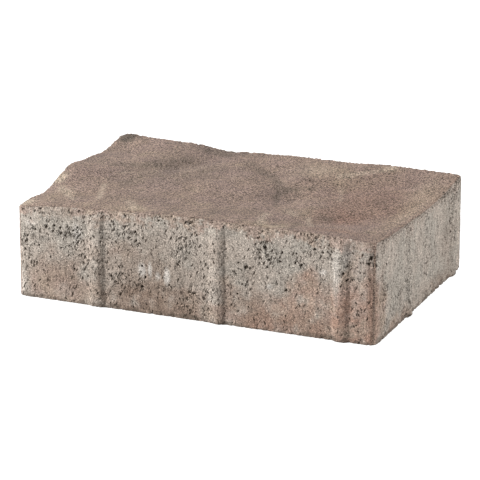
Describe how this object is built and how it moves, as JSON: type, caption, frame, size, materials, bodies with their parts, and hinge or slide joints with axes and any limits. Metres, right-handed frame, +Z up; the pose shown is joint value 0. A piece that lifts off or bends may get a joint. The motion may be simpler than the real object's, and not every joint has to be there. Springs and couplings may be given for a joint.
{
  "type": "concrete paving stone",
  "caption": "Rectangular concrete paving stone with a riven top, a flat base and plumb sides that carry half-round spacer nibs.",
  "frame": {"origin": "centre of the flat base, on the ground the stone lies on", "axes": "+Z up from the base to the riven top, +X along the length, -Y towards the long side that the picture shows in front"},
  "size_m": [0.229, 0.154, 0.0626],
  "materials": {
    "concrete": "rough dry-pressed concrete, blended brown and grey, pitted on the sides and sandy on the riven top"
  },
  "bodies": {
    "root": {"paving_stone": "concrete"}
  },
  "joints": []
}
